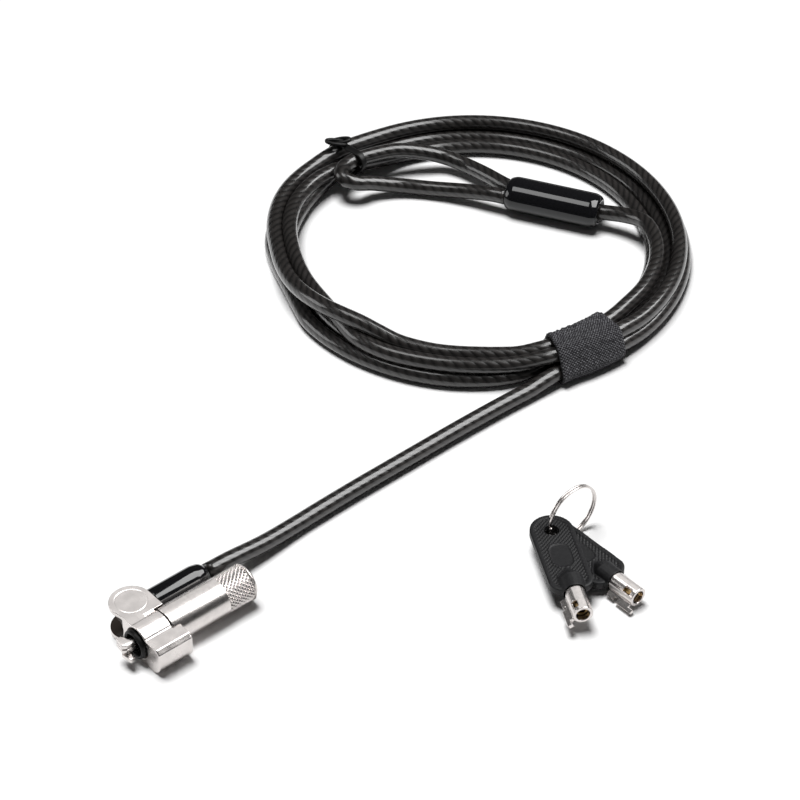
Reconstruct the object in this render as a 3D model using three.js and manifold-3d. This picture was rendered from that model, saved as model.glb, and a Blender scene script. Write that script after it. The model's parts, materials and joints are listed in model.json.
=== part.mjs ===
// Laptop cable lock: a keyed lock head on a pivoting, swivelling steel cable, with its coil,
// end loop, crimped ferrule, strap, tie and two tubular keys on a split ring.
// Millimetres, +Z up. The origin is on the flat underside of the lock head, below the barrel's axis.
// +X runs from the nose, which meets the laptop, towards the knurled end of the barrel.
// +Y points from the barrel to the cable, which leaves the head along +X.

import * as THREE from 'three';
import { mergeVertices } from 'three/addons/utils/BufferGeometryUtils.js';
import Module from 'manifold-3d';

const wasm = await Module();
wasm.setup();

// ---- Driving dimensions ----

const CABLE_D = 4.6;
const CABLE_R = CABLE_D / 2;
const GAP = 0.3; // left between pieces that touch

const AXIS_Z = 5.1; // height of the barrel's axis and of the cable where it leaves the head
const BARREL_R = 5.1;
const BARREL_START = 3.3;
const BARREL_END = 29.2;
const CORE_BORE_R = 4.2;
const CORE_START = 14.5;

const NOSE_X = -5;
const NECK_END = 3;
const NECK_R = 5;
const HEAD_TOP = 9.6;
const PAD_TOP = 8.5;
const NOSE_BORE_R = 3.5;
const GASKET_SEAT_R = 4.25;
const GASKET_SEAT_X = -3.3;

const PIVOT_Y = 9;
const DISC_R = 5.6;
const SLOT_LOW = 1.5;
const SLOT_HIGH = 8.5;
const SLOT_WALL_Y = PIVOT_Y - 3.2;
const PIN_R = 1.2;
const KNUCKLE_R = 2.8;
const SLEEVE_START = 5.9;
const SLEEVE_END = 22.8;
const SLEEVE_R = 3.6;

const HOOK_T = 1.2;
const HOOK_PITCH = 1.5;
const HOOK_HALF_W = 0.95;
const HOOK_TIP_X = -9.6;

const COIL_X = 168;
const COIL_Y = 69;
const OUTER_TURN_R = 13.2 * CABLE_D;
const INNER_TURN_R = 11.2 * CABLE_D;
const TOP_TURN_R = 12.75 * CABLE_D;
const COIL_INNER_R = INNER_TURN_R - CABLE_R;
const COIL_OUTER_R = OUTER_TURN_R + CABLE_R;
const COIL_STEP_Z = CABLE_D + 0.15;
const COIL_TOP_Z = 8.7;

const STRAP_ANGLE = -100.5; // degrees round the coil
const STRAP_W = 19;
const STRAP_T = 1.4;
const STRAP_TOP = 12.6;
const TIE_ANGLE = 92.5;
const TIE_W = 2.4;
const TIE_T = 0.8;
const TIE_TOP = 11;
const TIE_INNER_R = 47.6;

const FERRULE_X = 198.6;
const FERRULE_Y = 68.7;
const FERRULE_ANGLE = 119; // degrees, from the coil's end towards the loop
const FERRULE_L = 28.8;
const FERRULE_HALF_W = 5.8;
const FERRULE_HALF_H = 5.0;

const KEY_L = 30.6; // from the ring's hole to the tip of the tube
const BOW_HALF_W = 5.7;
const BOW_BACK = 5.7;
const BOW_FRONT = 22;
const BOW_T = 2.2;
const BOW_HOLE_R = 1.95;
const NECK_OF_BOW_R = 3.2;
const KEY_TUBE_R = 2.6;
const KEY_TUBE_BORE_R = 1.8;
const SHANK_START = 17.9; // where the tube begins inside the bow
const BIT_ROLL = 34; // degrees below the bow's plane
const BIT_T = 1.2;
const LINER_R = 1.5;
const LINER_BORE_R = 1;
const RING_R = 7.8;
const RING_X = 106.4;
const RING_Y = -37;
const RING_Z = 8.2;

// ---- Materials ----

function paint(color, roughness, metalness) {
  return new THREE.MeshStandardMaterial({ color, roughness, metalness });
}

const nickel = paint(0xc9c6c2, 0.28, 1);
const steel = paint(0xa7a29c, 0.35, 1);
const brass = paint(0xb9975f, 0.35, 1);
const aluminium = paint(0xaeb0b3, 0.45, 1);
const cablePlastic = paint(0x16171a, 0.25, 0);
const glossPlastic = paint(0x0b0b0d, 0.18, 0);
const bowPlastic = paint(0x17181a, 0.5, 0);
const rubber = paint(0x151615, 0.7, 0);
const fabric = paint(0x1c1d20, 0.9, 0);

// ---- Helpers ----

function solidOf(geometry) {
  const plain = geometry.clone();
  plain.deleteAttribute('normal');
  plain.deleteAttribute('uv');
  const merged = mergeVertices(plain, 1e-4);
  return new wasm.Manifold(new wasm.Mesh({
    numProp: 3,
    vertProperties: new Float32Array(merged.attributes.position.array),
    triVerts: new Uint32Array(merged.index.array),
  }));
}

function geometryOf(solid) {
  const mesh = solid.getMesh();
  const geometry = new THREE.BufferGeometry();
  geometry.setAttribute('position', new THREE.BufferAttribute(mesh.vertProperties, 3));
  geometry.setIndex(new THREE.BufferAttribute(mesh.triVerts, 1));
  geometry.computeVertexNormals();
  return geometry;
}

function box(x0, x1, y0, y1, z0, z1) {
  const geometry = new THREE.BoxGeometry(x1 - x0, y1 - y0, z1 - z0);
  geometry.translate((x0 + x1) / 2, (y0 + y1) / 2, (z0 + z1) / 2);
  return geometry;
}

// A cylinder along X from x0 to x1, centred on (y, z).
function rodX(radius, x0, x1, y = 0, z = AXIS_Z, sides = 36) {
  const geometry = new THREE.CylinderGeometry(radius, radius, x1 - x0, sides);
  geometry.rotateZ(-Math.PI / 2);
  geometry.translate((x0 + x1) / 2, y, z);
  return geometry;
}

// A cylinder along Z from z0 to z1, centred on (x, y).
function rodZ(radius, z0, z1, x = 0, y = 0, sides = 32) {
  const geometry = new THREE.CylinderGeometry(radius, radius, z1 - z0, sides);
  geometry.rotateX(Math.PI / 2);
  geometry.translate(x, y, (z0 + z1) / 2);
  return geometry;
}

// A turned piece about a line along X through (y, z). The outline is a list of [x, radius].
function turnedX(outline, y = 0, z = AXIS_Z, sides = 36) {
  const points = outline.map(([x, radius]) => new THREE.Vector2(radius, x));
  const geometry = new THREE.LatheGeometry(points, sides);
  geometry.rotateZ(-Math.PI / 2);
  geometry.translate(0, y, z);
  return geometry;
}

// A plate of the given outline in XY, from z0 to z1.
function plate(shape, z0, z1, curveSegments = 16) {
  const geometry = new THREE.ExtrudeGeometry(shape, {
    depth: z1 - z0, bevelEnabled: false, curveSegments,
  });
  geometry.translate(0, 0, z0);
  return geometry;
}

// A bar along X from x0 to x1 whose section is drawn in YZ.
function barX(shape, x0, x1, curveSegments = 10) {
  const geometry = plate(shape, x0, x1, curveSegments);
  geometry.applyMatrix4(new THREE.Matrix4().makeBasis(
    new THREE.Vector3(0, 1, 0), new THREE.Vector3(0, 0, 1), new THREE.Vector3(1, 0, 0),
  ));
  return geometry;
}

function polygon(points) {
  return new THREE.Shape(points.map(([x, y]) => new THREE.Vector2(x, y)));
}

// A rectangle whose lower and upper corners are rounded to different radii.
function roundedRectangle(x0, x1, y0, y1, low, high) {
  const shape = new THREE.Shape();
  shape.moveTo(x0 + low, y0);
  shape.absarc(x1 - low, y0 + low, low, -Math.PI / 2, 0);
  shape.absarc(x1 - high, y1 - high, high, 0, Math.PI / 2);
  shape.absarc(x0 + high, y1 - high, high, Math.PI / 2, Math.PI);
  shape.absarc(x0 + low, y0 + low, low, Math.PI, Math.PI * 1.5);
  return shape;
}

function circle(radius) {
  return new THREE.Shape().absarc(0, 0, radius, 0, Math.PI * 2);
}

// A round tube along a smooth curve through hand-placed points.
function cableAlong(points, steps, sides = 10) {
  const path = new THREE.CatmullRomCurve3(points.map((p) => new THREE.Vector3(...p)));
  return new THREE.ExtrudeGeometry(circle(CABLE_R), {
    steps, extrudePath: path, curveSegments: sides / 2, bevelEnabled: false,
  });
}

const model = new THREE.Group();

function add(name, geometry, material, parent = model) {
  const mesh = new THREE.Mesh(geometry, material);
  mesh.name = name;
  parent.add(mesh);
  return mesh;
}

// ---- Lock head casting ----

function discOutline() {
  const shape = new THREE.Shape();
  shape.moveTo(DISC_R, 3.2);
  shape.lineTo(DISC_R, PIVOT_Y);
  shape.absarc(0, PIVOT_Y, DISC_R, 0, Math.PI);
  shape.lineTo(NOSE_X, PIVOT_Y - 2.5);
  shape.lineTo(NOSE_X, 0);
  shape.lineTo(-0.5, 0);
  shape.lineTo(-0.5, 3.2);
  return shape;
}

function collarSection() {
  const shape = new THREE.Shape();
  shape.moveTo(PIVOT_Y, 0);
  shape.lineTo(PIVOT_Y, 1.4);
  shape.lineTo(3.2, 3);
  shape.lineTo(3.2, PAD_TOP);
  shape.lineTo(-8, PAD_TOP);
  shape.lineTo(-9.2, PAD_TOP - 1.1);
  shape.lineTo(-9.2, 3.6);
  shape.absarc(-5.6, 3.6, 3.6, Math.PI, Math.PI * 1.5);
  return shape;
}

// The cable's knuckle swings in this slot. Its end is a half circle, seen from the nose.
function slotSection() {
  const half = (SLOT_HIGH - SLOT_LOW) / 2;
  const shape = new THREE.Shape();
  shape.moveTo(PIVOT_Y + 9, SLOT_LOW);
  shape.lineTo(PIVOT_Y + 9, SLOT_HIGH);
  shape.absarc(SLOT_WALL_Y + half, SLOT_LOW + half, half, Math.PI / 2, Math.PI * 1.5);
  return shape;
}

function casting() {
  const bridge = polygon([
    [PIVOT_Y, 0], [PIVOT_Y, HEAD_TOP], [1.2, HEAD_TOP], [-3.4, PAD_TOP], [-3.4, 0],
  ]);
  return geometryOf(
    solidOf(plate(discOutline(), 0, HEAD_TOP))
      .add(solidOf(barX(bridge, NOSE_X, -0.5)))
      .add(solidOf(barX(collarSection(), NOSE_X, 5.2)))
      .add(solidOf(rodX(NECK_R, NOSE_X, NECK_END)))
      .subtract(solidOf(box(-0.4, 12, -3.6, 3.1, AXIS_Z, 14)).subtract(solidOf(rodX(NECK_R, -9, 20))))
      .subtract(solidOf(rodX(BARREL_R + GAP, NECK_END, 12)))
      .subtract(solidOf(rodX(NOSE_BORE_R, -9, 12)))
      .subtract(solidOf(rodX(GASKET_SEAT_R, -9, GASKET_SEAT_X)))
      .subtract(solidOf(barX(slotSection(), -12, 12)))
      .subtract(solidOf(rodZ(KNUCKLE_R + GAP, SLOT_LOW, SLOT_HIGH, 0, PIVOT_Y)))
      .subtract(solidOf(rodZ(PIN_R + GAP, -1, HEAD_TOP - 0.7, 0, PIVOT_Y))),
  );
}

// ---- Nose: gasket, guide and hooks ----

function gasket() {
  const inner = 3;
  const outer = GASKET_SEAT_R - GAP;
  const front = NOSE_X - 1.3;
  return turnedX([
    [GASKET_SEAT_X - GAP, inner], [front + 0.5, inner], [front, inner + 0.45],
    [front + 0.25, outer - 0.2], [front + 0.9, outer], [GASKET_SEAT_X - GAP, outer],
    [GASKET_SEAT_X - GAP, inner],
  ]);
}

function hookGuide() {
  return geometryOf(
    solidOf(rodX(NOSE_BORE_R - GAP, -3, 1.8))
      .subtract(solidOf(box(-5, 4, -2.1, 2.1, AXIS_Z - 2.4, AXIS_Z + 2.4))),
  );
}

// An L-shaped steel plate. Its barb points to +Y, or to -Y when side is -1.
function hook(layer, side) {
  const outline = polygon([
    [1.2, -HOOK_HALF_W * side], [HOOK_TIP_X + 1, -HOOK_HALF_W * side],
    [HOOK_TIP_X, -0.2 * side], [HOOK_TIP_X + 0.5, 3 * side], [HOOK_TIP_X + 1.9, 2.7 * side],
    [HOOK_TIP_X + 2.5, HOOK_HALF_W * side], [1.2, HOOK_HALF_W * side],
  ]);
  const z = AXIS_Z + layer * HOOK_PITCH;
  return plate(outline, z - HOOK_T / 2, z + HOOK_T / 2);
}

// ---- Barrel, core and drive ----

function barrelShell() {
  const chamfer = 0.9;
  return turnedX([
    [BARREL_START, 2.3], [BARREL_START, BARREL_R - 0.15], [BARREL_START + 0.15, BARREL_R],
    [BARREL_END - chamfer, BARREL_R], [BARREL_END, BARREL_R - chamfer], [BARREL_END, CORE_BORE_R],
    [CORE_START - 0.5, CORE_BORE_R], [CORE_START - 0.5, 3.4], [5.2, 3.4], [5.2, 2.3],
    [BARREL_START, 2.3],
  ]);
}

const PIN_COUNT = 4;
const PIN_CIRCLE_R = 2.2;

function tumblerAngle(index) {
  return Math.PI / 4 + (index * Math.PI * 2) / PIN_COUNT;
}

function core() {
  const face = BARREL_END - 1.2;
  const keyDepth = 7;
  const plain = turnedX([
    [CORE_START, 0], [CORE_START, CORE_BORE_R - GAP], [face, CORE_BORE_R - GAP],
    [face, KEY_TUBE_R + 0.2], [face - keyDepth, KEY_TUBE_R + 0.2],
    [face - keyDepth, KEY_TUBE_BORE_R - 0.3], [face - 0.4, KEY_TUBE_BORE_R - 0.3],
    [face - 0.4, 0],
  ]);
  let solid = solidOf(plain)
    .subtract(solidOf(box(face - keyDepth, face + 1, -0.8, 0.8, AXIS_Z - 5, AXIS_Z - 2.4)));
  for (let index = 0; index < PIN_COUNT; index += 1) {
    const y = PIN_CIRCLE_R * Math.cos(tumblerAngle(index));
    const z = AXIS_Z + PIN_CIRCLE_R * Math.sin(tumblerAngle(index));
    solid = solid.subtract(solidOf(rodX(0.8, face - keyDepth - 5, face - keyDepth + 1, y, z, 12)));
  }
  return geometryOf(solid);
}

function tumblerPin(index) {
  const y = PIN_CIRCLE_R * Math.cos(tumblerAngle(index));
  const z = AXIS_Z + PIN_CIRCLE_R * Math.sin(tumblerAngle(index));
  const start = BARREL_END - 12.9 + index * 0.25;
  return rodX(0.5, start, start + 4.2, y, z, 12);
}

function spindle() {
  return turnedX([
    [2.2, 0], [3.1, 1], [5.4, 1.9], [13, 1.9], [13, 2.6], [CORE_START - GAP, 2.6],
    [CORE_START - GAP, 0],
  ], 0, AXIS_Z, 24);
}

function returnSpring() {
  const turns = 5;
  const points = [];
  for (let step = 0; step <= turns * 10; step += 1) {
    const angle = (step / 10) * Math.PI * 2;
    const x = 6 + (step / (turns * 10)) * 6.4;
    points.push(new THREE.Vector3(x, 2.7 * Math.cos(angle), AXIS_Z + 2.7 * Math.sin(angle)));
  }
  return new THREE.ExtrudeGeometry(circle(0.35), {
    steps: turns * 10, extrudePath: new THREE.CatmullRomCurve3(points), curveSegments: 3,
    bevelEnabled: false,
  });
}

// ---- Cable end: pin, knuckle, stud and sleeve ----

function knuckle() {
  return geometryOf(
    solidOf(rodZ(KNUCKLE_R, SLOT_LOW + 0.15, SLOT_HIGH - 0.15, 0, PIVOT_Y))
      .add(solidOf(rodX(KNUCKLE_R, 0, DISC_R, PIVOT_Y)))
      .subtract(solidOf(rodZ(PIN_R + 0.15, 0, 10, 0, PIVOT_Y)))
      .subtract(solidOf(rodX(2.25, 1.7, 4.6, PIVOT_Y)))
      .subtract(solidOf(rodX(1.75, 4.5, 8, PIVOT_Y))),
  );
}

function swivelStud() {
  return turnedX([[2, 0], [2, 2], [4.3, 2], [4.3, 1.5], [8.4, 1.5], [8.4, 0]], PIVOT_Y, AXIS_Z, 24);
}

function sleeve() {
  return turnedX([
    [9, 0], [9, 1.8], [SLEEVE_START, 1.8], [SLEEVE_START, SLEEVE_R - 0.3],
    [SLEEVE_START + 0.5, SLEEVE_R], [SLEEVE_END - 3, SLEEVE_R], [SLEEVE_END - 1.2, SLEEVE_R - 0.4],
    [SLEEVE_END - 0.3, SLEEVE_R - 1], [SLEEVE_END, CABLE_R], [SLEEVE_END, 0],
  ], PIVOT_Y);
}

// ---- Cable, coil, loop and ferrule ----

const leadPoints = [
  [23.1, 9, 5.1], [30, 9.05, 4.9], [42, 9.6, 3.3], [54, 10.6, 2.35], [72, 11.3, 2.3],
  [92, 11.6, 2.3], [112, 11.8, 2.3], [128, 11.6, 2.3], [135.5, 11.3, 2.3],
];
const tailPoints = [
  [176, 16.2, 7.4], [188, 19.6, 7.4], [199, 26, 7.4], [206.5, 34, 7.4], [209.8, 42, 7.4],
  [208.9, 49, 6.2], [205.9, 55.4, 5.2],
];
const eyePoints = [
  [193.2, 83.7, 5], [193.6, 92, 4.4], [192.9, 101, 3.8], [190, 107.8, 4.4], [185.2, 112.2, 6],
  [178.6, 116.5, 7.5], [171.5, 119.5, 7.6], [164.6, 121, 7.6], [159.4, 119.9, 7.6],
  [156.8, 116.8, 7.5], [158.6, 113.4, 6.4], [164.2, 111.6, 4.6], [171, 107.2, 3],
  [177.6, 100.2, 2.6], [184, 90.6, 3.8], [188.6, 81.6, 5],
];

// A straight box across the coil at the given angle, seen from the coil's centre.
function acrossCoil(angle, width, r0, r1, z0, z1) {
  const geometry = box(-width / 2, width / 2, -r1, -r0, z0, z1);
  geometry.rotateZ(THREE.MathUtils.degToRad(angle + 90));
  return geometry;
}

function coil() {
  const step = TOP_TURN_R - CABLE_R - 0.1;
  const points = [
    [COIL_INNER_R + 1, 0], [COIL_OUTER_R - 1, 0], [COIL_OUTER_R, 1.4], [COIL_OUTER_R, CABLE_D],
    [TOP_TURN_R + 2.4, COIL_TOP_Z], [step, COIL_TOP_Z], [step - 0.6, COIL_STEP_Z],
    [COIL_INNER_R, COIL_STEP_Z], [COIL_INNER_R, 1.4], [COIL_INNER_R + 1, 0],
  ].map(([radius, z]) => new THREE.Vector2(radius, z));
  const ring = new THREE.LatheGeometry(points, 72);
  ring.rotateX(Math.PI / 2);
  const strapSpace = acrossCoil(STRAP_ANGLE, STRAP_W + 1, 40, 70, -1, STRAP_T + GAP);
  const tieSpace = acrossCoil(TIE_ANGLE, TIE_W + 1, 40, 70, -1, TIE_T + GAP);
  return geometryOf(solidOf(ring).subtract(solidOf(strapSpace)).subtract(solidOf(tieSpace)));
}

// A flat band round the coil's section, drawn in the coil's radius and height.
function bandAcrossCoil(angle, width, thickness, inner, outer, top, corner) {
  const low = thickness + 0.4;
  const shape = roundedRectangle(-outer, -inner, 0, top, low, corner);
  shape.holes.push(roundedRectangle(
    -outer + thickness, -inner - thickness, thickness, top - thickness, 0.4, corner - thickness,
  ));
  const geometry = barX(shape, -width / 2, width / 2, 6);
  geometry.rotateZ(THREE.MathUtils.degToRad(angle + 90));
  return geometry;
}

function ferruleCover() {
  const half = FERRULE_L / 2;
  const end = 2.4;
  const geometry = turnedX([
    [-half, 0.66], [-half, 0.8], [-half + end * 0.3, 0.92], [-half + end, 1], [half - end, 1],
    [half - end * 0.3, 0.92], [half, 0.8], [half, 0.66], [-half, 0.66],
  ], 0, 0, 32);
  geometry.scale(1, FERRULE_HALF_W, FERRULE_HALF_H);
  return geometry;
}

function ferruleCrimp() {
  const geometry = rodX(0.58, 2 - FERRULE_L / 2, FERRULE_L / 2 - 2, 0, 0, 24);
  geometry.scale(1, FERRULE_HALF_W, FERRULE_HALF_H);
  return geometry;
}

// ---- Keys: drawn along +X from the ring's hole, in the key's own middle plane ----

function keyBow() {
  const shape = new THREE.Shape();
  const corner = 3.4;
  shape.moveTo(0, -BOW_HALF_W);
  shape.absarc(BOW_FRONT - corner, -BOW_HALF_W + corner, corner, -Math.PI / 2, 0);
  shape.absarc(BOW_FRONT - corner, BOW_HALF_W - corner, corner, 0, Math.PI / 2);
  shape.absarc(0, 0, BOW_BACK, Math.PI / 2, Math.PI * 1.5);
  shape.holes.push(circle(BOW_HOLE_R));
  const neck = turnedX([
    [15, 0], [15, 1], [18, NECK_OF_BOW_R], [BOW_FRONT + 0.6, 3], [BOW_FRONT + 0.6, 0],
  ], 0, 0, 24);
  return geometryOf(
    solidOf(plate(shape, -BOW_T / 2, BOW_T / 2, 12))
      .add(solidOf(neck))
      .subtract(solidOf(rodX(KEY_TUBE_R + 0.2, 17.5, BOW_FRONT + 2, 0, 0, 24))),
  );
}

function keyShank() {
  const bit = polygon([
    [BOW_FRONT + 0.9, 0], [BOW_FRONT + 0.9, -4.2], [BOW_FRONT + 3.4, -4.2],
    [BOW_FRONT + 3.4, -3.4], [BOW_FRONT + 4.4, -3.4], [BOW_FRONT + 4.4, -4.6],
    [KEY_L + 1.1, -4.6], [KEY_L + 1.1, -3.4], [KEY_L - 0.4, -3.4], [KEY_L - 0.4, 0],
  ].reverse());
  const bitPlate = plate(bit, -BIT_T / 2, BIT_T / 2);
  bitPlate.rotateX(THREE.MathUtils.degToRad(BIT_ROLL));
  return geometryOf(
    solidOf(rodX(KEY_TUBE_R, SHANK_START, KEY_L, 0, 0, 28))
      .add(solidOf(bitPlate))
      .subtract(solidOf(rodX(KEY_TUBE_BORE_R, KEY_L - 8, KEY_L + 3, 0, 0, 24)))
      .subtract(solidOf(box(KEY_L - 3.4, KEY_L - 1.2, -2.2, -0.9, 0.75, 3))),
  );
}

// The brass bush deep in the tube's bore, which shows through the window in its side.
function keyLiner() {
  const start = KEY_L - 7.6;
  const end = KEY_L - 1.6;
  return turnedX([
    [start, LINER_BORE_R], [start, LINER_R], [end, LINER_R], [end, LINER_BORE_R], [start, LINER_BORE_R],
  ], 0, 0, 20);
}

function splitRing() {
  const points = [
    [-0.35, -0.45], [0.35, -0.45], [0.35, 0.45], [-0.35, 0.45], [-0.35, -0.45],
  ].map(([out, along]) => new THREE.Vector2(RING_R + out, along * 1.6));
  return new THREE.LatheGeometry(points, 40);
}

// ---- Assembly ----

add('lock_head', casting(), nickel);
add('front_gasket', gasket(), rubber);
add('hook_guide', hookGuide(), steel);
add('hook_upper', hook(1, 1), steel);
add('hook_middle', hook(0, 1), steel);
add('hook_lower', hook(-1, -1), steel);

add('lock_barrel', barrelShell(), nickel);
add('lock_core', core(), steel);
for (let index = 0; index < PIN_COUNT; index += 1) {
  add(`tumbler_pin_${index + 1}`, tumblerPin(index), brass);
}
add('drive_spindle', spindle(), steel);
add('return_spring', returnSpring(), steel);

add('pivot_pin', rodZ(PIN_R, 0.2, HEAD_TOP - 1, 0, PIVOT_Y), steel);
add('cable_knuckle', knuckle(), nickel);
add('swivel_stud', swivelStud(), steel);
add('cable_sleeve', sleeve(), glossPlastic);

add('cable_lead', cableAlong(leadPoints, 16), cablePlastic);
add('cable_tail', cableAlong(tailPoints, 12), cablePlastic);
add('eye_loop', cableAlong(eyePoints, 30), cablePlastic);

const coilGroup = new THREE.Group();
coilGroup.position.set(COIL_X, COIL_Y, 0);
model.add(coilGroup);
add('cable_coil', coil(), cablePlastic, coilGroup);
add('strap', bandAcrossCoil(
  STRAP_ANGLE, STRAP_W, STRAP_T, COIL_INNER_R - 2.7, COIL_OUTER_R + 2, STRAP_TOP, 3.4,
), fabric, coilGroup);
add('coil_tie', bandAcrossCoil(
  TIE_ANGLE, TIE_W, TIE_T, TIE_INNER_R, COIL_OUTER_R + 1.3, TIE_TOP, 2,
), rubber, coilGroup);

const ferrule = new THREE.Group();
ferrule.position.set(FERRULE_X, FERRULE_Y, FERRULE_HALF_H);
ferrule.rotation.z = THREE.MathUtils.degToRad(FERRULE_ANGLE);
model.add(ferrule);
add('ferrule_cover', ferruleCover(), glossPlastic, ferrule);
add('ferrule_crimp', ferruleCrimp(), aluminium, ferrule);

// Each key: the place of its ring hole, the height of its middle plane and its direction.
const keys = [
  { name: 'key_1', hole: [98.9, -37.4, 5.8], direction: -118.2 },
  { name: 'key_2', hole: [100.5, -36.5, 3.3], direction: -89 },
];
for (const { name, hole, direction } of keys) {
  const key = new THREE.Group();
  key.position.set(...hole);
  key.rotation.z = THREE.MathUtils.degToRad(direction);
  model.add(key);
  add(`${name}_bow`, keyBow(), bowPlastic, key);
  add(`${name}_shank`, keyShank(), nickel, key);
  add(`${name}_liner`, keyLiner(), brass, key);
}
const ring = add('split_ring', splitRing(), nickel);
ring.position.set(RING_X, RING_Y, RING_Z);

export default model;
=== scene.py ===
"""Laptop cable lock: the visual model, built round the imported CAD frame.

Metres, in the CAD's frame: +X from the lock's nose to its knurled end, +Y from the barrel to
the cable, +Z up, with the floor at z = 0.
"""
import json
import math

import bmesh
import bpy
import numpy as np
from mathutils import Matrix, Vector, noise


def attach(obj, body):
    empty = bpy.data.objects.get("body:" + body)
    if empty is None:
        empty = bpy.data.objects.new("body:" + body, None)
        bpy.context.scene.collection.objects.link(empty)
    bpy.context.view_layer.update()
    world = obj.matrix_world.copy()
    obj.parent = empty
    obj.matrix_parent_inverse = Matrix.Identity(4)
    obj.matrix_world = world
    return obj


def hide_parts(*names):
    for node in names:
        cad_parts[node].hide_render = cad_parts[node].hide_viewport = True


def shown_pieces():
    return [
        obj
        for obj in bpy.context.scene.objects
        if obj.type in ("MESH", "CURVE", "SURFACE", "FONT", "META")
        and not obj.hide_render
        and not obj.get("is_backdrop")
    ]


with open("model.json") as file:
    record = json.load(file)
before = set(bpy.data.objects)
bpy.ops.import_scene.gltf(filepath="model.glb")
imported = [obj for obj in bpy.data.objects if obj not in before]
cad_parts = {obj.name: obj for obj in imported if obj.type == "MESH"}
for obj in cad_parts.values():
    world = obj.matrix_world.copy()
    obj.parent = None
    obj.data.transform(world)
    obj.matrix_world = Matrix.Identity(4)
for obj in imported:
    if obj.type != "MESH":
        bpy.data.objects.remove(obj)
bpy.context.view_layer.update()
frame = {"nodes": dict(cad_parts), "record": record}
scene = bpy.context.scene
MM = 0.001

# ---- Dimensions shared with the CAD, in millimetres ----

CABLE_D = 4.6
AXIS_Z = 5.1
PIVOT_Y = 9
SLOT_LOW = 1.5  # the slot in the head for the knuckle: its lowest and highest z
SLOT_HIGH = 8.5
SLOT_SIDE = 5.8  # and the y beyond which it opens
COIL_CENTRE = (168, 69)
STRAP_ANGLE = -100.5
TIE_ANGLE = 92.5
FERRULE_CENTRE = (198.6, 68.7, 5.0)
FERRULE_ANGLE = 119

LEAD_ROUTE = [
    (23.1, 9, 5.1), (30, 9.05, 4.9), (42, 9.6, 3.3), (54, 10.6, 2.35), (72, 11.3, 2.3),
    (92, 11.6, 2.3), (112, 11.8, 2.3), (128, 11.6, 2.3), (135.5, 11.3, 2.3),
]
TAIL_ROUTE = [
    (188, 19.6, 7.4), (199, 26, 7.4), (206.5, 34, 7.4), (209.8, 42, 7.4),
    (208.9, 49, 6.2), (205.9, 55.4, 5.2), (204.3, 58.4, 5.0),
]
EYE_ROUTE = [
    (194.2, 80.3, 5), (193.5, 85.5, 4.9), (193.4, 93, 4.3), (192.6, 101, 3.8), (190, 107.8, 4.4),
    (185.2, 112.2, 6), (178.6, 116.5, 7.5), (171.5, 119.5, 7.6), (164.6, 121, 7.6),
    (159.4, 119.9, 7.6), (156.8, 116.8, 7.5), (158.6, 113.4, 6.4), (164.2, 111.6, 4.6),
    (171, 107.2, 3), (177.6, 100.2, 2.6), (184, 90.6, 3.8), (187.6, 83.6, 4.9), (189.5, 79.9, 5),
]
# The coil's centreline: degrees travelled round the coil, then radius and height in cable
# diameters. It makes 4.1 turns. The first two and a half lie on the floor and the rest lies on
# top of them, with a long low hump near 185 degrees where it crosses over itself.
COIL_ROUTE = [
    (-113.5, 13.72, 0.5), (-108, 13.3, 0.5), (-101, 13.2, 0.5), (-82, 13.05, 0.5),
    (-40, 13.15, 0.5), (50, 13.5, 0.5), (90, 13.4, 0.5), (105, 13.2, 0.5), (120, 13.1, 0.5),
    (137, 13.0, 0.5), (148, 12.6, 0.5), (158, 12.4, 0.5), (166, 12.5, 0.5), (174, 12.8, 0.5),
    (185, 12.95, 0.5), (200, 13.05, 0.5), (227, 13.05, 0.5), (238, 12.85, 0.5),
    (248, 12.4, 0.5), (259.5, 12.2, 0.5),
    (320, 12.2, 0.5), (410, 12.5, 0.5), (452, 12.4, 0.5), (465, 12.15, 0.5), (480, 12.05, 0.5),
    (500, 11.95, 0.5), (512, 11.6, 0.5), (522, 11.45, 0.5), (535, 11.75, 0.5), (545, 11.95, 0.5),
    (560, 12.05, 0.5), (587, 12.05, 0.5), (600, 11.8, 0.5), (619.5, 11.2, 0.5),
    (640, 11.15, 0.5), (680, 11.2, 0.5), (770, 11.45, 0.5), (790, 11.4, 0.5), (812, 11.6, 0.9),
    (825, 12.0, 1.37), (840, 12.2, 1.37), (852, 12.0, 1.42), (865, 11.7, 1.48),
    (883, 11.6, 1.48), (894, 11.65, 1.47), (901, 11.85, 1.43), (907, 12.2, 1.42),
    (913, 12.6, 1.4), (920, 12.8, 1.4), (935, 12.8, 1.37), (955, 12.8, 1.37),
    (979.5, 12.85, 1.37),
    (1000, 12.85, 1.4), (1040, 12.85, 1.37), (1130, 13.0, 1.37), (1172, 13.0, 1.37),
    (1198, 13.25, 1.37), (1213, 12.95, 1.42), (1225, 12.65, 1.5), (1236, 12.6, 1.65),
    (1246, 12.6, 1.9), (1255, 12.55, 2.15), (1262, 12.45, 2.3), (1268, 12.25, 2.3),
    (1275, 12.0, 2.1), (1283, 11.9, 1.65), (1291, 11.8, 1.44), (1312, 11.8, 1.4),
    (1323, 12.0, 1.4), (1332, 12.0, 1.4), (1339.5, 11.85, 1.37), (1349.5, 11.75, 1.4),
    (1358.6, 11.6, 1.61),
]

# ---- Camera ----

AIM = Vector((0.1082, 0.0333, 0))
VIEW_ELEVATION = math.radians(40.0)
VIEW_HEADING = Vector((0.6494, 0.7604, 0))  # horizontal direction the camera looks along
CAMERA_DISTANCE = 0.7404
LENS = 121.4  # focal length and sensor width in millimetres
SENSOR_W = 36


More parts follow.
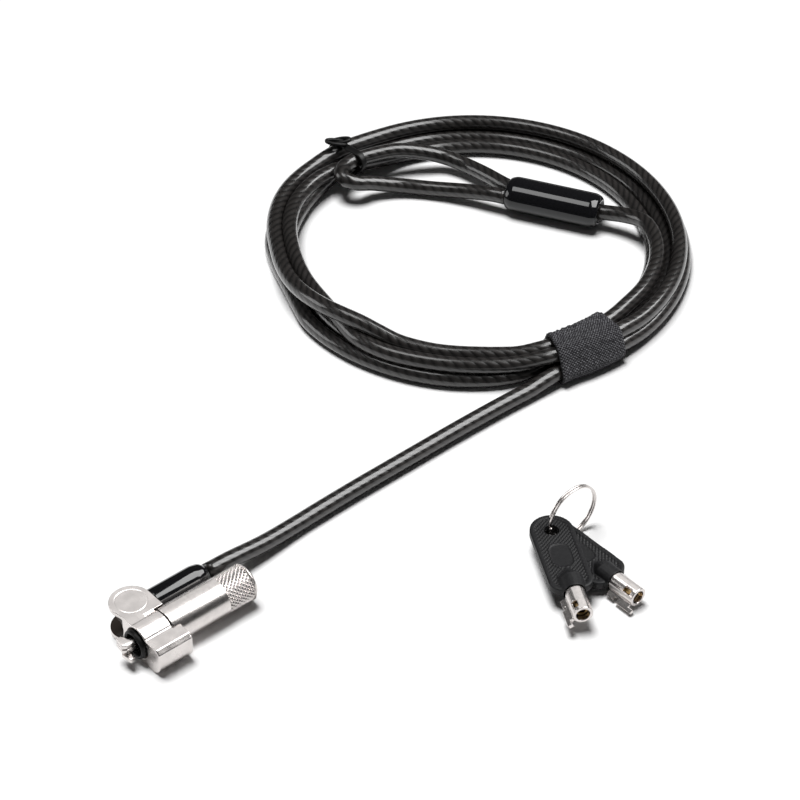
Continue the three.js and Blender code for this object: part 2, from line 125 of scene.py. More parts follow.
def make_camera():
    camera = bpy.data.objects.new("camera", bpy.data.cameras.new("camera"))
    scene.collection.objects.link(camera)
    back = -VIEW_HEADING * math.cos(VIEW_ELEVATION) + Vector((0, 0, math.sin(VIEW_ELEVATION)))
    camera.location = AIM + back * CAMERA_DISTANCE
    camera.rotation_euler = (-back).to_track_quat("-Z", "Y").to_euler()
    camera.data.lens = LENS
    camera.data.sensor_width = SENSOR_W
    camera.data.clip_start = 0.01
    scene.camera = camera


make_camera()

# ---- Mesh helpers ----


def hermite(keys, values, at):
    """Smooth interpolation of values given at keys: a non-uniform Catmull-Rom spline."""
    keys = np.asarray(keys, float)
    values = np.asarray(values, float)
    at = np.asarray(at, float)
    gaps = np.diff(keys)
    slopes = np.diff(values, axis=0) / gaps[:, None]
    tangents = np.empty_like(values)
    tangents[0], tangents[-1] = slopes[0], slopes[-1]
    before, after = gaps[:-1, None], gaps[1:, None]
    tangents[1:-1] = (slopes[:-1] * after + slopes[1:] * before) / (before + after)
    i = np.clip(np.searchsorted(keys, at, side="right") - 1, 0, len(gaps) - 1)
    h = gaps[i][:, None]
    t = ((at - keys[i]) / gaps[i])[:, None]
    return (
        (2 * t**3 - 3 * t**2 + 1) * values[i]
        + (t**3 - 2 * t**2 + t) * h * tangents[i]
        + (3 * t**2 - 2 * t**3) * values[i + 1]
        + (t**3 - t**2) * h * tangents[i + 1]
    )


def step_between(low, high, value):
    """0 below low and 1 above high, with a smooth rise between them."""
    t = np.clip((value - low) / (high - low), 0, 1)
    return t * t * (3 - 2 * t)


def along(points, step):
    """Points at equal steps on a smooth curve through the given ones."""
    points = np.asarray(points, float)
    keys = np.concatenate([[0], np.cumsum(np.linalg.norm(np.diff(points, axis=0), axis=1) ** 0.5)])
    dense = hermite(keys, points, np.linspace(0, keys[-1], 60 * len(points)))
    far = np.concatenate([[0], np.cumsum(np.linalg.norm(np.diff(dense, axis=0), axis=1))])
    wanted = np.linspace(0, far[-1], max(2, round(far[-1] / step) + 1))
    return np.stack([np.interp(wanted, far, dense[:, k]) for k in range(3)], axis=1)


def link(name, verts, faces, uvs=None, smooth=True):
    """A mesh object from numpy arrays, with an optional UV for each corner."""
    mesh = bpy.data.meshes.new(name)
    mesh.from_pydata([tuple(v) for v in verts], [], [tuple(f) for f in faces])
    if uvs is not None:
        layer = mesh.uv_layers.new(name="place")
        layer.data.foreach_set("uv", np.asarray(uvs, np.float32).ravel())
    mesh.validate()
    mesh.update()
    if smooth:
        mesh.polygons.foreach_set("use_smooth", [True] * len(mesh.polygons))
    piece = bpy.data.objects.new(name, mesh)
    scene.collection.objects.link(piece)
    return piece


def frames_on(line):
    """Two unit vectors across the line at each of its points, turning as little as they can."""
    tangents = np.gradient(line, axis=0)
    tangents /= np.linalg.norm(tangents, axis=1)[:, None]
    side = np.cross(tangents[0], [0, 0, 1.0])
    sides = []
    for tangent in tangents:
        side = side - tangent * (side @ tangent)
        side = side / np.linalg.norm(side)
        sides.append(side)
    sides = np.array(sides)
    return sides, np.cross(tangents, sides)


def tube(name, line, radius, sides=20):
    """A round tube with flat ends. Its UV is the length along it in metres, and the turn."""
    count = len(line)
    across, up = frames_on(line)
    turn = np.arange(sides) / sides
    ring = radius * (
        np.cos(turn * math.tau)[None, :, None] * across[:, None, :]
        + np.sin(turn * math.tau)[None, :, None] * up[:, None, :]
    )
    verts = (line[:, None, :] + ring).reshape(-1, 3)
    far = np.concatenate([[0], np.cumsum(np.linalg.norm(np.diff(line, axis=0), axis=1))])
    faces, uvs = [], []
    for i in range(count - 1):
        for j in range(sides):
            k = (j + 1) % sides
            faces.append((i * sides + j, i * sides + k, (i + 1) * sides + k, (i + 1) * sides + j))
            uvs += [
                (far[i], j / sides), (far[i], (j + 1) / sides),
                (far[i + 1], (j + 1) / sides), (far[i + 1], j / sides),
            ]
    for start, order in ((0, -1), ((count - 1) * sides, 1)):
        faces.append([start + j for j in range(sides)][::order])
        uvs += [(far[-1] if start else 0, 0)] * sides
    return link(name, verts, faces, uvs)


# ---- Cable ----

CABLE_STEP = 0.0018  # between rings of points, in metres
EYE_STEP = 0.0012
STRAP_LIFT = 0.24  # how far a band lifts the turns it goes under, in cable diameters
TIE_LIFT = 0.15


def swell(angle, centre, flat, ramp):
    """1 within flat degrees of centre, falling smoothly to 0 over ramp degrees."""
    away = abs((angle - centre + 180) % 360 - 180)
    t = np.clip((away - flat) / ramp, 0, 1)
    return 0.5 + 0.5 * np.cos(t * math.pi)


def coil_section(angles):
    """Radius and height of the coil's centreline in millimetres, at degrees travelled."""
    shape = hermite([a for a, _, _ in COIL_ROUTE], [(r, z) for _, r, z in COIL_ROUTE], angles)
    at_strap = STRAP_LIFT * swell(angles, STRAP_ANGLE, 8, 14)
    at_tie = TIE_LIFT * swell(angles, TIE_ANGLE, 1, 12)
    shape[:, 1] += at_strap + at_tie
    return shape * CABLE_D


def on_coil(angle, radius, height):
    """The point at an angle round the coil, in degrees, and a radius and height."""
    turn = math.radians(angle)
    return (
        COIL_CENTRE[0] + radius * math.cos(turn), COIL_CENTRE[1] + radius * math.sin(turn), height,
    )


def coil_points():
    """The coil's centreline every six degrees, with its last point."""
    angles = np.append(np.arange(COIL_ROUTE[0][0], COIL_ROUTE[-1][0], 6.0), COIL_ROUTE[-1][0])
    return [on_coil(angle, *place) for angle, place in zip(angles, coil_section(angles))]


def strands_at(angle):
    """Radius and height of every strand of the coil at an angle round it."""
    travelled = angle + 360.0 * np.arange(-1, 5)
    first, last = COIL_ROUTE[0][0], COIL_ROUTE[-1][0]
    return coil_section(travelled[(travelled >= first) & (travelled <= last)])


def make_cable():
    route = np.array(LEAD_ROUTE + coil_points() + TAIL_ROUTE) * MM
    line = along(route, CABLE_STEP)
    line[:, 2] = np.maximum(line[:, 2], CABLE_D / 2 * MM)
    cable = tube("cable", line, CABLE_D / 2 * MM)
    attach(cable, "cable_set")
    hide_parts("cable_lead", "cable_coil", "cable_tail")
    return cable, line


def make_eye():
    line = along(np.array(EYE_ROUTE) * MM, EYE_STEP)
    eye = tube("eye", line, CABLE_D / 2 * MM)
    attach(eye, "cable_set")
    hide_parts("eye_loop")
    return eye, line


cable, cable_line = make_cable()
eye, eye_line = make_eye()
nodes = frame["nodes"]

# ---- Materials ----

STRANDS = 6
STRAND_LAY = 0.018  # length in which a strand goes once round the cable
WEAVE_STEP = 0.0009  # from one thread of the strap to the next but one
SLOT_MARGIN = 0.12  # how far the painted shade inside the slot reaches past the slot, in millimetres


class Shader:
    """A material being built: its principled shader and short ways to add nodes."""

    def __init__(self, name, **sockets):
        self.material = bpy.data.materials.new(name)
        self.material.use_nodes = True
        self.tree = self.material.node_tree
        self.shader = self.tree.nodes["Principled BSDF"]
        for socket, value in sockets.items():
            self.shader.inputs[socket.replace("_", " ")].default_value = value

    def node(self, kind, **settings):
        made = self.tree.nodes.new(kind)
        for key, value in settings.items():
            setattr(made, key, value)
        return made

    def join(self, source, target):
        self.tree.links.new(source, target)

    def math(self, operation, a, b=0.0, c=0.0):
        made = self.node("ShaderNodeMath", operation=operation)
        for socket, value in zip(made.inputs, (a, b, c)):
            if isinstance(value, (int, float)):
                socket.default_value = value
            else:
                self.join(value, socket)
        return made.outputs[0]

    def noise(self, scale, detail=3.0, roughness=0.5):
        place = self.node("ShaderNodeTexCoord").outputs["Object"]
        made = self.node("ShaderNodeTexNoise")
        made.inputs["Scale"].default_value = scale
        made.inputs["Detail"].default_value = detail
        made.inputs["Roughness"].default_value = roughness
        self.join(place, made.inputs["Vector"])
        return made.outputs["Fac"]

    def spread(self, value, low, high):
        """value from 0 to 1, mapped to low to high."""
        return self.math("MULTIPLY_ADD", value, high - low, low)

    def colours(self, value, stops):
        ramp = self.node("ShaderNodeValToRGB")
        ramp.color_ramp.elements[0].position = stops[0][0]
        ramp.color_ramp.elements[0].color = (*stops[0][1], 1)
        ramp.color_ramp.elements[1].position = stops[-1][0]
        ramp.color_ramp.elements[1].color = (*stops[-1][1], 1)
        for position, colour in stops[1:-1]:
            ramp.color_ramp.elements.new(position).color = (*colour, 1)
        self.join(value, ramp.inputs[0])
        self.join(ramp.outputs[0], self.shader.inputs["Base Color"])

    def rough(self, value, low, high):
        self.join(self.spread(value, low, high), self.shader.inputs["Roughness"])

    def bump(self, height, distance, strength=1.0):
        made = self.node("ShaderNodeBump")
        made.inputs["Strength"].default_value = strength
        made.inputs["Distance"].default_value = distance
        self.join(height, made.inputs["Height"])
        self.join(made.outputs[0], self.shader.inputs["Normal"])


def cable_material():
    """Smoky clear sheath over six twisted strands, seen as soft ridges below a smooth gloss."""
    made = Shader(
        "cable_sheath", Coat_Weight=1.0, Coat_Roughness=0.14, Coat_IOR=1.5, Specular_IOR_Level=0.25)
    place = made.node("ShaderNodeUVMap", uv_map="place")
    parts = made.node("ShaderNodeSeparateXYZ")
    made.join(place.outputs[0], parts.inputs[0])
    lay = made.math("MULTIPLY", parts.outputs[0], -1 / STRAND_LAY)
    turn = made.math("ADD", lay, parts.outputs[1])
    uneven = made.noise(260, 3)
    turn = made.math("ADD", turn, made.spread(uneven, -0.02, 0.02))
    wave = made.math("ABSOLUTE", made.math("SINE", made.math("MULTIPLY", turn, math.pi * STRANDS)))
    depth = made.math("MULTIPLY", wave, made.spread(uneven, 0.4, 1.3))
    made.colours(depth, [(0.1, (0.006, 0.0055, 0.0053)), (1.0, (0.028, 0.0252, 0.024))])
    made.rough(uneven, 0.28, 0.42)
    made.bump(depth, 0.0004, 0.35)
    return made.material


def metal_material(name, colour, low, high):
    made = Shader(name, Metallic=1.0)
    cloud = made.noise(900, 4, 0.6)
    dark = tuple(0.86 * c for c in colour)
    made.colours(cloud, [(0.3, dark), (0.7, colour)])
    made.rough(cloud, low, high)
    made.bump(cloud, 0.00004, 0.25)
    return made.material


def casting_material(colour, dark):
    """Satin nickel, with painted shade: near-black inside the slot that the cable's knuckle turns
    in, where the pocket lies in shade.
    """
    made = Shader("head_nickel", Metallic=1.0)
    place = made.node("ShaderNodeTexCoord").outputs["Object"]
    parts = made.node("ShaderNodeSeparateXYZ")
    made.join(place, parts.inputs[0])
    beside = made.math("GREATER_THAN", parts.outputs[1], SLOT_SIDE * MM)
    above = made.math("GREATER_THAN", parts.outputs[2], (SLOT_LOW - SLOT_MARGIN) * MM)
    below = made.math("LESS_THAN", parts.outputs[2], (SLOT_HIGH + SLOT_MARGIN) * MM)
    # inside: the slot's walls, painted near-black as painted shade of the pocket
    inside = made.math("MULTIPLY", beside, made.math("MULTIPLY", above, below))
    cloud = made.noise(350, 2, 0.4)
    mixed = made.math("MULTIPLY_ADD", inside, 2.0, cloud)
    light = tuple(0.86 * c for c in colour)
    # the last two stops, dark, are the painted shade inside the slot
    made.colours(made.math("MULTIPLY", mixed, 0.33), [
        (0.10, light), (0.23, colour), (0.60, colour), (0.66, dark), (1.0, dark)])
    made.rough(made.math("MINIMUM", mixed, 1.6), 0.20, 0.32)
    made.bump(cloud, 0.00003, 0.12)
    return made.material


def plastic_material(name, colour, low, high, coat=0.0, shine=0.5):
    made = Shader(name, Coat_Weight=coat, Coat_Roughness=0.05, Specular_IOR_Level=shine)
    cloud = made.noise(1500, 4, 0.6)
    dark = tuple(0.7 * c for c in colour)
    light = tuple(1.25 * c for c in colour)
    made.colours(cloud, [(0.3, dark), (0.7, light)])
    made.rough(cloud, low, high)
    made.bump(cloud, 0.00005, 0.3)
    return made.material


def fabric_material():
    """Black woven tape: a fine crossed weave, with paler threads here and there."""
    made = Shader("fabric", Roughness=0.9, Specular_IOR_Level=0.15)
    place = made.node("ShaderNodeUVMap", uv_map="place")
    parts = made.node("ShaderNodeSeparateXYZ")
    made.join(place.outputs[0], parts.inputs[0])
    across = made.math("SINE", made.math("MULTIPLY", parts.outputs[0], math.tau / WEAVE_STEP))
    along_it = made.math("SINE", made.math("MULTIPLY", parts.outputs[1], math.tau / WEAVE_STEP))
    weave = made.math("MULTIPLY_ADD", made.math("MULTIPLY", across, along_it), 0.5, 0.5)
    patches = made.noise(1400, 4, 0.7)
    thread = made.math("MULTIPLY", weave, made.spread(patches, -0.6, 2.6))
    made.colours(thread, [
        (0.1, (0.010, 0.010, 0.011)), (0.55, (0.042, 0.041, 0.045)), (1.0, (0.16, 0.16, 0.17))])
    made.bump(thread, 0.0002, 0.8)
    return made.material


NICKEL = metal_material("nickel", (0.74, 0.70, 0.68), 0.20, 0.30)
# its second colour is painted shade, laid inside the knuckle's slot
CASTING = casting_material((0.74, 0.70, 0.68), (0.030, 0.024, 0.020))
STEEL = metal_material("steel", (0.60, 0.57, 0.54), 0.28, 0.42)
BRASS = metal_material("brass", (0.72, 0.50, 0.24), 0.25, 0.4)
ALUMINIUM = metal_material("aluminium", (0.66, 0.66, 0.67), 0.35, 0.5)
SHEATH = cable_material()
GLOSS = plastic_material("gloss_plastic", (0.006, 0.006, 0.007), 0.10, 0.18, 1.0, shine=0.05)
MATTE = plastic_material("bow_plastic", (0.012, 0.012, 0.013), 0.42, 0.55, shine=0.25)
RUBBER = plastic_material("rubber", (0.006, 0.006, 0.006), 0.35, 0.5, shine=0.25)
FABRIC = fabric_material()
# Near-black steel: painted shade for the parts that sit in the head's hollows
PAINTED_SHADE_STEEL = metal_material("painted_shade_steel", (0.035, 0.030, 0.027), 0.4, 0.55)


def paint(piece, material):
    piece.data.materials.clear()
    piece.data.materials.append(material)


BY_SLOT = {
    "nickel": NICKEL, "steel": STEEL, "brass": BRASS, "aluminium": ALUMINIUM,
    "cable_sheath": SHEATH, "gloss_plastic": GLOSS, "bow_plastic": MATTE,
    "gasket_rubber": RUBBER, "strap_fabric": FABRIC,
}
for part in frame["record"]["subparts"]:
    paint(nodes[part["node"]], BY_SLOT[part["material_slot"]])
# The knuckle in the slot and the hook guide get near-black steel as painted shade
paint(nodes["cable_knuckle"], PAINTED_SHADE_STEEL)
paint(nodes["hook_guide"], PAINTED_SHADE_STEEL)
paint(cable, SHEATH)
paint(eye, SHEATH)

# ---- Turned and rounded pieces ----


def rounded(outline, radius=0.3, steps=5):
    """The outline, a list of 2D points, with each inner corner rounded by an arc-like curve."""
    outline = np.asarray(outline, float)
    out = [outline[0]]
    for before, corner, after in zip(outline, outline[1:], outline[2:]):
        back, ahead = before - corner, after - corner
        reach = min(radius, 0.45 * np.linalg.norm(back), 0.45 * np.linalg.norm(ahead))
        start = corner + back / np.linalg.norm(back) * reach
        end = corner + ahead / np.linalg.norm(ahead) * reach
        for t in np.linspace(0, 1, steps):
            out.append((1 - t) ** 2 * start + 2 * t * (1 - t) * corner + t**2 * end)
    out.append(outline[-1])
    return np.array(out)


def turned(name, outline, sides=96, squash=(1, 1), matrix=Matrix()):
    """A piece turned about X from an outline of (x, radius) in millimetres."""
    outline = np.asarray(outline, float)
    angles = np.arange(sides) / sides * math.tau
    x = np.repeat(outline[:, 0], sides)
    r = np.repeat(outline[:, 1], sides)
    a = np.tile(angles, len(outline))
    verts = np.stack([x, r * np.cos(a) * squash[0], r * np.sin(a) * squash[1]], axis=1) * MM
    faces = []
    for i in range(len(outline) - 1):
        for j in range(sides):
            k = (j + 1) % sides
            faces.append((i * sides + j, (i + 1) * sides + j, (i + 1) * sides + k, i * sides + k))
    piece = link(name, verts, faces)
    close_up(piece)
    piece.data.transform(matrix)
    return piece


def close_up(piece, merge=1e-6):
    """Joins doubled points, drops faces without area and turns every face outward."""
    mesh = bmesh.new()
    mesh.from_mesh(piece.data)
    bmesh.ops.remove_doubles(mesh, verts=mesh.verts, dist=merge)
    bmesh.ops.dissolve_degenerate(mesh, edges=mesh.edges, dist=merge)
    bmesh.ops.recalc_face_normals(mesh, faces=mesh.faces)
    for face in mesh.faces:
        face.smooth = True
    mesh.to_mesh(piece.data)
    mesh.free()


def shown_as(piece, body, slot, material, *replaced):
    """Rides piece on its body, in place of the CAD nodes named, painted in the material given; the
    slot is not used.
    """
    paint(piece, material)
    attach(piece, body)
    if replaced:
        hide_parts(*replaced)
    return piece


def apply_modifiers(piece):
    evaluated = piece.evaluated_get(bpy.context.evaluated_depsgraph_get())
    mesh = bpy.data.meshes.new_from_object(evaluated)
    piece.modifiers.clear()
    piece.data = mesh
    mesh.polygons.foreach_set("use_smooth", [True] * len(mesh.polygons))


def softened(name, node, voxel, smoothing):
    """A copy of a CAD node remeshed finely, with its edges eased as a casting's are."""
    piece = bpy.data.objects.new(name, nodes[node].data.copy())
    scene.collection.objects.link(piece)
    close_up(piece, 2e-6)
    remesh = piece.modifiers.new("remesh", "REMESH")
    remesh.mode = "VOXEL"
    remesh.voxel_size = voxel * MM
    smooth = piece.modifiers.new("smooth", "SMOOTH")
    smooth.factor = 0.5
    smooth.iterations = smoothing
    apply_modifiers(piece)
    return piece


def at_head(y=0.0):
    return Matrix.Translation((0, y * MM, AXIS_Z * MM))


# ---- Lock head ----

KNURL_START = 20.2
KNURL_END = 28.3
KNURLS_ROUND = 26
KNURL_STEP = 1.25  # along the barrel, from one groove of a set to the next
KNURL_DEPTH = 0.5
KNURL_FADE = 0.25  # length over which the knurl runs out at each end
KNURL_ROW = 0.075  # between rings of points along the knurl
POINTS_PER_KNURL = 12
DISC_TOP = 9.6
DISC_RING_R = 4.1  # a plain engraved ring on the disc over the pivot
DISC_RING_W = 0.16
DISC_RING_DEPTH = 0.10
BARREL_R = 5.1


def make_head():
    """The casting, with its edges eased and a thin ring engraved in the disc on top."""
    head = softened("head_casting", "lock_head", 0.12, 9)
    for vert in head.data.vertices:
        x, y, z = vert.co / MM
        if z > DISC_TOP - 0.4:
            away = math.hypot(x, y - PIVOT_Y) - DISC_RING_R
            vert.co.z -= DISC_RING_DEPTH * MM * math.exp(-((away / DISC_RING_W) ** 2))
    shown_as(head, "head", "nickel", CASTING, "lock_head")


def groove(phase):
    """Distance from the nearest groove, from 0 in it to 0.5 midway between two."""
    return np.abs(phase - np.round(phase))


def knurl_height(x, turn):
    """How far the diamond knurl's surface lies from the barrel's, 0 or less, in millimetres."""
    along_turns = (x - KNURL_START) / KNURL_STEP
    one = groove(turn * KNURLS_ROUND + along_turns)
    other = groove(turn * KNURLS_ROUND - along_turns)
    fade = np.clip(np.minimum(x - KNURL_START, KNURL_END - x) / KNURL_FADE, 0, 1)
    return -KNURL_DEPTH * fade * (1 - 2 * np.minimum(one, other))


def make_barrel():
    """The barrel's shell with its diamond knurl cut into the far end."""
    plain = rounded([
        (5.2, 3.4), (5.2, 2.3), (3.3, 2.3), (3.3, BARREL_R),
        (KNURL_START - 0.1, BARREL_R), (KNURL_START, BARREL_R),
    ], 0.22)
    knurl = [(x, BARREL_R) for x in np.arange(KNURL_START + 0.06, KNURL_END, KNURL_ROW)]
    end = rounded([
        (KNURL_END, BARREL_R), (29.2, 4.25), (29.2, 4.2), (14, 4.2), (14, 3.4), (5.2, 3.4),
    ], 0.1)
    outline = np.array([*plain, *knurl, *end])
    piece = turned("barrel_shell", outline, KNURLS_ROUND * POINTS_PER_KNURL)
    mesh = piece.data
    places = np.empty(len(mesh.vertices) * 3)
    mesh.vertices.foreach_get("co", places)
    places = places.reshape(-1, 3)
    x = places[:, 0] / MM
    turn = np.arctan2(places[:, 2], places[:, 1]) / math.tau
    radius = np.hypot(places[:, 1], places[:, 2])
    cut = (x >= KNURL_START) & (x <= KNURL_END) & (radius > 5.0 * MM)
    scale = np.where(cut, 1 + knurl_height(x, turn) * MM / np.maximum(radius, 1e-9), 1)
    places[:, 1] *= scale
    places[:, 2] *= scale
    mesh.vertices.foreach_set("co", places.ravel())
    mesh.transform(at_head())
    mesh.update()
    shown_as(piece, "barrel", "nickel", NICKEL, "lock_barrel")


def make_gasket():
    outline = [
        (-3.6, 3.0), (-5.8, 3.0), (-6.35, 3.35), (-6.2, 3.8), (-5.5, 4.0), (-5.0, 3.9),
        (-3.6, 3.95), (-3.6, 3.0),
    ]
    piece = turned("nose_gasket", rounded(outline, 0.4, 7), 72, matrix=at_head())
    shown_as(piece, "head", "gasket_rubber", RUBBER, "front_gasket")


def make_hook(node, body):
    """One stamped hook plate with its edges bevelled."""
    piece = bpy.data.objects.new(node + "_plate", nodes[node].data.copy())
    scene.collection.objects.link(piece)
    mesh = bmesh.new()
    mesh.from_mesh(piece.data)
    bmesh.ops.remove_doubles(mesh, verts=mesh.verts, dist=1e-6)
    bmesh.ops.dissolve_limit(mesh, angle_limit=0.02, verts=mesh.verts, edges=mesh.edges)
    mesh.to_mesh(piece.data)
    mesh.free()
    bevel = piece.modifiers.new("bevel", "BEVEL")
    bevel.width = 0.16 * MM
    bevel.segments = 3
    apply_modifiers(piece)
    shown_as(piece, body, "steel", NICKEL, node)


def make_sleeve():
    outline = [
        (8.8, 0), (8.8, 1.7), (5.9, 1.7), (5.9, 3.55), (19.5, 3.6), (21.6, 3.2), (22.5, 2.5),
        (22.8, 2.32), (22.8, 0),
    ]
    piece = turned("strain_sleeve", rounded(outline, 0.7, 7), 72, matrix=at_head(PIVOT_Y))
    shown_as(piece, "cable_set", "gloss_plastic", GLOSS, "cable_sleeve")


make_head()
make_barrel()
make_gasket()
make_hook("hook_upper", "left_hooks")
make_hook("hook_middle", "left_hooks")
make_hook("hook_lower", "right_hook")
make_sleeve()

# ---- Ferrule ----


def make_ferrule():
    outline = [
        (-14.4, 3.9), (-14.4, 4.3), (-13.9, 5.1), (-12.4, 5.75), (-10.5, 5.8), (10.5, 5.8),
        (12.4, 5.75), (13.9, 5.1), (14.4, 4.3), (14.4, 3.9), (-14.4, 3.9),
    ]
    place = Matrix.Translation(Vector(FERRULE_CENTRE) * MM) @ Matrix.Rotation(
        math.radians(FERRULE_ANGLE), 4, "Z")
    piece = turned("ferrule_shell", rounded(outline, 0.8, 6), 96, (1, 5.0 / 5.8), place)
    shown_as(piece, "cable_set", "gloss_plastic", GLOSS, "ferrule_cover")
    return piece


ferrule_shell = make_ferrule()

# ---- Strap and tie ----

STRAP_W = 19
STRAP_T = 1.3
STRAP_GAP = 0.1  # between the cable and the strap's inner side
STRAP_COUNT = 460  # points once round the strap
RIB_STEP = 0.62
RIB_DEPTH = 0.22
PILE_DEPTH = 0.34
FUZZ_DEPTH = 0.05
SLACK_DEPTH = 0.25


def loop_round(points, offset, count):
    """A closed loop at an offset from the hull of the points, at equal steps."""
    turn = np.linspace(0, math.tau, 721)[:-1]
    outward = np.stack([np.cos(turn), np.sin(turn)], axis=1)
    nearest = np.argmax(points @ outward.T, axis=0)
    loop = points[nearest] + outward * offset
    loop = np.vstack([loop, loop[:1]])
    far = np.concatenate([[0], np.cumsum(np.linalg.norm(np.diff(loop, axis=0), axis=1))])
    wanted = np.arange(count) / count * far[-1]
    return np.stack([np.interp(wanted, far, loop[:, k]) for k in range(2)], axis=1), far[-1]


def band_section(width, thickness, fine, coarse):
    """Across and outward places round a flat band's section, edges rounded."""
    edge = thickness / 2
    across = width / 2 - edge
    section = [(w, thickness) for w in np.linspace(-across, across, fine)]
    for turn in (60, 30, 0, -30, -60):
        t = math.radians(turn)
        section.append((across + edge * math.cos(t), edge + edge * math.sin(t)))
    section += [(w, 0.0) for w in np.linspace(across, -across, coarse)]
    for turn in (-120, -150, 180, 150, 120):
        t = math.radians(turn)
        section.append((-across + edge * math.cos(t), edge + edge * math.sin(t)))
    return section


def band(name, section, centre_angle, loop_at, count, relief=None):
    """A band round the coil. loop_at(angle, offset) is the loop in radius and height."""
    verts, uvs_at = [], []
    middle = np.mean([r for r, _ in loop_at(centre_angle, 0)[0]])
    for across, out in section:
        angle = centre_angle + math.degrees(across / middle)
        loop, length = loop_at(angle, out)
        for i, (radius, height) in enumerate(loop):
            verts.append(on_coil(angle, radius, height))
            uvs_at.append((across * MM, i / count * length * MM))
    rows = len(section)
    faces, uvs = [], []
    for j in range(rows):
        for i in range(count):
            n, m = (j + 1) % rows, (i + 1) % count
            face = (j * count + i, n * count + i, n * count + m, j * count + m)
            faces.append(face)
            corners = [uvs_at[k] for k in face]
            if m == 0:
                end = uvs_at[i][1] + uvs_at[1][1]
                corners = [corners[0], corners[1], *[(u, end) for u, _ in corners[2:]]]
            uvs += corners
    verts = np.array(verts) * MM
    if relief is not None:
        verts = relief(verts, np.array(uvs_at), section, count)
    piece = link(name, verts, faces, uvs)
    mesh = bmesh.new()
    mesh.from_mesh(piece.data)
    bmesh.ops.recalc_face_normals(mesh, faces=mesh.faces)
    mesh.to_mesh(piece.data)
    mesh.free()
    return piece


def strap_loop(angle, out):
    return loop_round(strands_at(angle), CABLE_D / 2 + STRAP_GAP + out, STRAP_COUNT)


def woven_relief(verts, places, section, count):
    """Ribs across the strap's front, and the lumpy pile of its upper and inner side."""
    grid = verts.reshape(len(section), count, 3)
    middle = grid.mean(axis=1, keepdims=True)
    outward = grid - middle
    outward /= np.linalg.norm(outward, axis=2)[..., None]
    away = np.hypot(grid[..., 0] - COIL_CENTRE[0] * MM, grid[..., 1] - COIL_CENTRE[1] * MM) / MM
    height = grid[..., 2] / MM
    front = step_between(54.0, 56.5, away)
    rib = np.abs(np.sin(places[:, 1].reshape(len(section), count) / MM / RIB_STEP * math.pi)) - 1
    ribs = front * step_between(3.0, 6.0, height) * (1 - step_between(12.6, 13.6, height))
    pile = (1 - front) * step_between(2.0, 5.0, height) + front * step_between(12.0, 13.6, height)
    lumps = np.array([
        noise.fractal(Vector(v) * 900, 0.8, 2.0, 3) for v in grid.reshape(-1, 3)
    ]).reshape(len(section), count)
    outer = np.array([out > STRAP_T * 0.6 for _, out in section])[:, None]
    push = outer * (RIB_DEPTH * ribs * rib + PILE_DEPTH * pile * lumps + FUZZ_DEPTH * lumps)
    slack = SLACK_DEPTH * np.array([
        noise.noise(Vector(v) * 160) for v in grid.reshape(-1, 3)
    ]).reshape(len(section), count)
    lifted = step_between(0.8, 2.5, height)
    grid += outward * ((push + slack * lifted) * MM)[..., None]
    return grid.reshape(-1, 3)


def make_strap():
    section = band_section(STRAP_W, STRAP_T, 56, 14)
    strap = band("strap_band", section, STRAP_ANGLE, strap_loop, STRAP_COUNT, woven_relief)
    shown_as(strap, "cable_set", "strap_fabric", FABRIC, "strap")
    return strap


TIE_W = 2.4
TIE_T = 0.8
TIE_GAP = 0.08
TIE_COUNT = 160
EYE_AT_TIE = [(51.3, 7.5)]  # the loop's upper run, which the tie holds against the coil
KNOT_PLACE = (58.5, 94.0, 11.6)  # radius, angle and height of the knot's middle
KNOT_LONG = 3.0  # half the length, width and rise of each of its two loops
KNOT_WIDE = 1.15
KNOT_RISE = 0.55
KNOT_TURN = 0.93  # how much of a full turn each loop makes
KNOT_END_R = 0.6


def tie_loop(angle, out):
    strands = np.vstack([strands_at(angle), EYE_AT_TIE])
    return loop_round(strands, CABLE_D / 2 + TIE_GAP + out, TIE_COUNT)


def make_tie():
    tie = band("tie_band", band_section(TIE_W, TIE_T, 5, 5), TIE_ANGLE, tie_loop, TIE_COUNT)
    shown_as(tie, "cable_set", "gasket_rubber", RUBBER, "coil_tie")
    return tie


def make_tie_knot():
    """The tie's two ends, each an open loop, lying across each other on top of the turns."""
    radius, angle, height = KNOT_PLACE
    middle = np.array(on_coil(angle, radius, height))
    along_tie = np.array(on_coil(angle + 2.2, radius + 2.2, height)) - middle
    along_tie /= np.linalg.norm(along_tie)
    over = np.array([-along_tie[1], along_tie[0], 0])
    ends = []
    for name, side, start in (("tie_end_a", -1, 0.4), ("tie_end_b", 1, 3.4)):
        points = []
        for turn in np.linspace(0, math.tau * KNOT_TURN, 27) + start:
            points.append(
                middle + along_tie * (KNOT_LONG * math.cos(turn) + 0.5 * side)
                + over * (KNOT_WIDE * math.sin(turn) + 0.35 * side)
                + np.array([0, 0, KNOT_RISE * side * math.cos(turn)])
            )
        line = along(np.array(points) * MM, 0.0004)
        ends.append(tube(name, line, KNOT_END_R * MM, 12))
    for end in ends:
        shown_as(end, "cable_set", "gasket_rubber", RUBBER)
    return ends


strap = make_strap()
tie = make_tie()
tie_ends = make_tie_knot()

# ---- Keys ----

KEYS = {
    "key_1": ((98.9, -37.4, 5.8), -118.2),
    "key_2": ((100.5, -36.5, 3.3), -89.0),
}
BOW_HALF_W = 5.7
BOW_FRONT = 22
BOW_CORNER = 3.4
BOW_T = 2.2
DIMPLE_STEP = 1.15
DIMPLE_HEIGHT = 0.34
RECESS_DEPTH = 0.36
PANEL_X = 9.6  # the plain oval panel's middle, half length and half width
PANEL_HALF_L = 4.4
PANEL_HALF_W = 2.9
RING_CENTRE = (106.4, -37.0, 8.2)
RING_R = 7.8
RING_TURNS = 1.94
RING_START = math.radians(185)
RING_SHIFT = 0.36  # half the distance between its two turns
RING_STEPS = 240
WIRE_HALF_W = 0.30
WIRE_HALF_T = 0.29
WIRE_ROUND = 0.6  # 1 for a round wire, less for a squarer one


